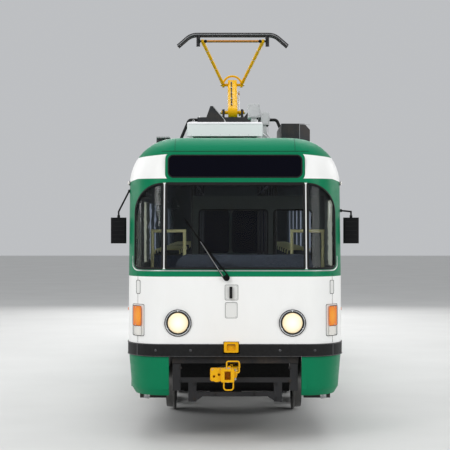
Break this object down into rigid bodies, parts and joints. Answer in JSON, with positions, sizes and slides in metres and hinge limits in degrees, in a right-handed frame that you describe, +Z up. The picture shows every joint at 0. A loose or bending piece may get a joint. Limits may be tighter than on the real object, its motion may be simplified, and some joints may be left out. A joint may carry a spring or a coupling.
{
  "type": "tram car",
  "caption": "Single-ended bogie tram with curved windscreen, folding doors, roof gear and single-arm pantograph.",
  "frame": {"origin": "middle of the car's footprint at the height of the flange tips", "axes": "+X to the right seen from the front, +Y along the car towards its rear, +Z up"},
  "size_m": [2.586, 15.104, 4.7032],
  "materials": {
    "front_mask": "gloss paint",
    "rear_mask": "gloss paint",
    "roof": "gloss paint",
    "side_left": "gloss paint",
    "side_right": "gloss paint",
    "skirts": "gloss paint",
    "bumpers": "matt",
    "socket_box": "gloss paint",
    "side_windows": "clear",
    "windscreen": "clear",
    "rear_window": "clear",
    "display": "gloss",
    "headlight_rims": "polished",
    "clear_lamps": "ribbed",
    "indicators": "ribbed",
    "tail_lamps": "ribbed",
    "front_plates": "satin",
    "mirrors": "matt",
    "floor": "ribbed matting",
    "steps": "satin",
    "underframe": "matt paint",
    "end_guards": "matt paint",
    "cab_desk": "matt",
    "seats": "satin",
    "handrails": "gloss paint",
    "roof_unit": "satin",
    "resistor_box": "matt paint",
    "roof_boxes": "satin",
    "panto_base": "satin",
    "roof_conduits": "smooth",
    "underfloor_boxes": "matt paint",
    "wiper": "matt",
    "panto_lower_arm": "gloss paint",
    "panto_upper_arm": "gloss paint",
    "panto_head": "worn",
    "panto_rod": "plain",
    "bogie_frame": "painted",
    "motors": "painted",
    "track_brakes": "bare",
    "coupler": "gloss paint",
    "wheelset": "worn tread",
    "door": "gloss paint"
  },
  "bodies": {
    "car": {"front_mask": "front_mask", "rear_mask": "rear_mask", "roof": "roof", "side_left": "side_left", "side_right": "side_right", "skirts": "skirts", "bumpers": "bumpers", "socket_box": "socket_box", "side_windows": "side_windows", "windscreen": "windscreen", "rear_window": "rear_window", "display": "display", "headlight_rims": "headlight_rims", "clear_lamps": "clear_lamps", "indicators": "indicators", "tail_lamps": "tail_lamps", "front_plates": "front_plates", "mirrors": "mirrors", "floor": "floor", "steps": "steps", "underframe": "underframe", "end_guards": "end_guards", "cab_desk": "cab_desk", "seats": "seats", "handrails": "handrails", "roof_unit": "roof_unit", "resistor_box": "resistor_box", "roof_boxes": "roof_boxes", "panto_base": "panto_base", "roof_conduits": "roof_conduits", "underfloor_boxes": "underfloor_boxes"},
    "wiper": {"wiper": "wiper"},
    "panto_lower_arm": {"panto_lower_arm": "panto_lower_arm"},
    "panto_upper_arm": {"panto_upper_arm": "panto_upper_arm"},
    "panto_head": {"panto_head": "panto_head"},
    "panto_rod": {"panto_rod": "panto_rod"},
    "bogie_front": {"bogie_frame_front": "bogie_frame", "motors_front": "motors", "track_brakes_front": "track_brakes"},
    "coupler_front": {"coupler_front": "coupler"},
    "bogie_rear": {"bogie_frame_rear": "bogie_frame", "motors_rear": "motors", "track_brakes_rear": "track_brakes"},
    "coupler_rear": {"coupler_rear": "coupler"},
    "wheelset_1": {"wheelset_1": "wheelset"},
    "wheelset_2": {"wheelset_2": "wheelset"},
    "wheelset_3": {"wheelset_3": "wheelset"},
    "wheelset_4": {"wheelset_4": "wheelset"},
    "door_front_a1": {"door_front_a1": "door"},
    "door_front_b1": {"door_front_b1": "door"},
    "door_front_a2": {"door_front_a2": "door"},
    "door_front_b2": {"door_front_b2": "door"},
    "door_middle_a1": {"door_middle_a1": "door"},
    "door_middle_b1": {"door_middle_b1": "door"},
    "door_middle_a2": {"door_middle_a2": "door"},
    "door_middle_b2": {"door_middle_b2": "door"},
    "door_rear_a1": {"door_rear_a1": "door"},
    "door_rear_b1": {"door_rear_b1": "door"},
    "door_rear_a2": {"door_rear_a2": "door"},
    "door_rear_b2": {"door_rear_b2": "door"}
  },
  "joints": [
    {"name": "bogie_front_swivel", "type": "hinge", "parent": "car", "child": "bogie_front", "pos_m": [0, -3.2, 0.74], "axis": [0, 0, 1], "range_deg": [-10, 10]},
    {"name": "coupler_front_swing", "type": "hinge", "parent": "car", "child": "coupler_front", "pos_m": [0, -6.3, 0.712], "axis": [0, 0, 1], "range_deg": [-25, 25]},
    {"name": "bogie_rear_swivel", "type": "hinge", "parent": "car", "child": "bogie_rear", "pos_m": [0, 3.2, 0.74], "axis": [0, 0, 1], "range_deg": [-10, 10]},
    {"name": "coupler_rear_swing", "type": "hinge", "parent": "car", "child": "coupler_rear", "pos_m": [0, 6.3, 0.712], "axis": [0, 0, 1], "range_deg": [-25, 25]},
    {"name": "wheelset_1_spin", "type": "hinge", "parent": "bogie_front", "child": "wheelset_1", "pos_m": [0, -4.15, 0.378], "axis": [1, 0, 0], "continuous": true},
    {"name": "wheelset_2_spin", "type": "hinge", "parent": "bogie_front", "child": "wheelset_2", "pos_m": [0, -2.25, 0.378], "axis": [1, 0, 0], "continuous": true},
    {"name": "wheelset_3_spin", "type": "hinge", "parent": "bogie_rear", "child": "wheelset_3", "pos_m": [0, 2.25, 0.378], "axis": [1, 0, 0], "continuous": true},
    {"name": "wheelset_4_spin", "type": "hinge", "parent": "bogie_rear", "child": "wheelset_4", "pos_m": [0, 4.15, 0.378], "axis": [1, 0, 0], "continuous": true},
    {"name": "wiper_sweep", "type": "hinge", "parent": "car", "child": "wiper", "pos_m": [-0.087, -6.96897, 1.639], "axis": [0, -0.9849, 0.1732], "range_deg": [-80, 0]},
    {"name": "panto_raise", "type": "hinge", "parent": "car", "child": "panto_lower_arm", "pos_m": [0, -2, 3.66], "axis": [1, 0, 0], "range_deg": [-17, 28]},
    {"name": "panto_knee", "type": "hinge", "parent": "panto_lower_arm", "child": "panto_upper_arm", "pos_m": [0, -0.78798, 4.13011], "axis": [1, 0, 0], "range_deg": [-56, 34]},
    {"name": "panto_head_level", "type": "hinge", "parent": "panto_upper_arm", "child": "panto_head", "pos_m": [0, -2, 4.60022], "axis": [1, 0, 0], "range_deg": [-17, 28]},
    {"name": "panto_rod_swing", "type": "hinge", "parent": "car", "child": "panto_rod", "pos_m": [0.09, -1.86, 3.64], "axis": [1, 0, 0], "range_deg": [-17, 28]},
    {"name": "door_front_a1_swing", "type": "hinge", "parent": "car", "child": "door_front_a1", "pos_m": [-1.08, -6.13, 1.45], "axis": [0, 0, 1], "range_deg": [0, 85]},
    {"name": "door_front_b1_fold", "type": "hinge", "parent": "door_front_a1", "child": "door_front_b1", "pos_m": [-1.059, -5.8175, 1.45], "axis": [0, 0, 1], "range_deg": [-170, 0]},
    {"name": "door_front_a2_swing", "type": "hinge", "parent": "car", "child": "door_front_a2", "pos_m": [-1.08, -4.87, 1.45], "axis": [0, 0, -1], "range_deg": [0, 85]},
    {"name": "door_front_b2_fold", "type": "hinge", "parent": "door_front_a2", "child": "door_front_b2", "pos_m": [-1.059, -5.1825, 1.45], "axis": [0, 0, -1], "range_deg": [-170, 0]},
    {"name": "door_middle_a1_swing", "type": "hinge", "parent": "car", "child": "door_middle_a1", "pos_m": [-1.08, -0.63, 1.45], "axis": [0, 0, 1], "range_deg": [0, 85]},
    {"name": "door_middle_b1_fold", "type": "hinge", "parent": "door_middle_a1", "child": "door_middle_b1", "pos_m": [-1.059, -0.3175, 1.45], "axis": [0, 0, 1], "range_deg": [-170, 0]},
    {"name": "door_middle_a2_swing", "type": "hinge", "parent": "car", "child": "door_middle_a2", "pos_m": [-1.08, 0.63, 1.45], "axis": [0, 0, -1], "range_deg": [0, 85]},
    {"name": "door_middle_b2_fold", "type": "hinge", "parent": "door_middle_a2", "child": "door_middle_b2", "pos_m": [-1.059, 0.3175, 1.45], "axis": [0, 0, -1], "range_deg": [-170, 0]},
    {"name": "door_rear_a1_swing", "type": "hinge", "parent": "car", "child": "door_rear_a1", "pos_m": [-1.08, 4.87, 1.45], "axis": [0, 0, 1], "range_deg": [0, 85]},
    {"name": "door_rear_b1_fold", "type": "hinge", "parent": "door_rear_a1", "child": "door_rear_b1", "pos_m": [-1.059, 5.1825, 1.45], "axis": [0, 0, 1], "range_deg": [-170, 0]},
    {"name": "door_rear_a2_swing", "type": "hinge", "parent": "car", "child": "door_rear_a2", "pos_m": [-1.08, 6.13, 1.45], "axis": [0, 0, -1], "range_deg": [0, 85]},
    {"name": "door_rear_b2_fold", "type": "hinge", "parent": "door_rear_a2", "child": "door_rear_b2", "pos_m": [-1.059, 5.8175, 1.45], "axis": [0, 0, -1], "range_deg": [-170, 0]}
  ],
  "couplings": [
    {"joint": "panto_knee", "follows": "panto_raise", "ratio": -2},
    {"joint": "panto_head_level", "follows": "panto_raise", "ratio": 1},
    {"joint": "panto_rod_swing", "follows": "panto_raise", "ratio": 1},
    {"joint": "door_front_b1_fold", "follows": "door_front_a1_swing", "ratio": -2},
    {"joint": "door_front_b2_fold", "follows": "door_front_a1_swing", "ratio": -2},
    {"joint": "door_front_a2_swing", "follows": "door_front_a1_swing", "ratio": 1},
    {"joint": "door_middle_b1_fold", "follows": "door_middle_a1_swing", "ratio": -2},
    {"joint": "door_middle_b2_fold", "follows": "door_middle_a1_swing", "ratio": -2},
    {"joint": "door_middle_a2_swing", "follows": "door_middle_a1_swing", "ratio": 1},
    {"joint": "door_rear_b1_fold", "follows": "door_rear_a1_swing", "ratio": -2},
    {"joint": "door_rear_b2_fold", "follows": "door_rear_a1_swing", "ratio": -2},
    {"joint": "door_rear_a2_swing", "follows": "door_rear_a1_swing", "ratio": 1}
  ]
}
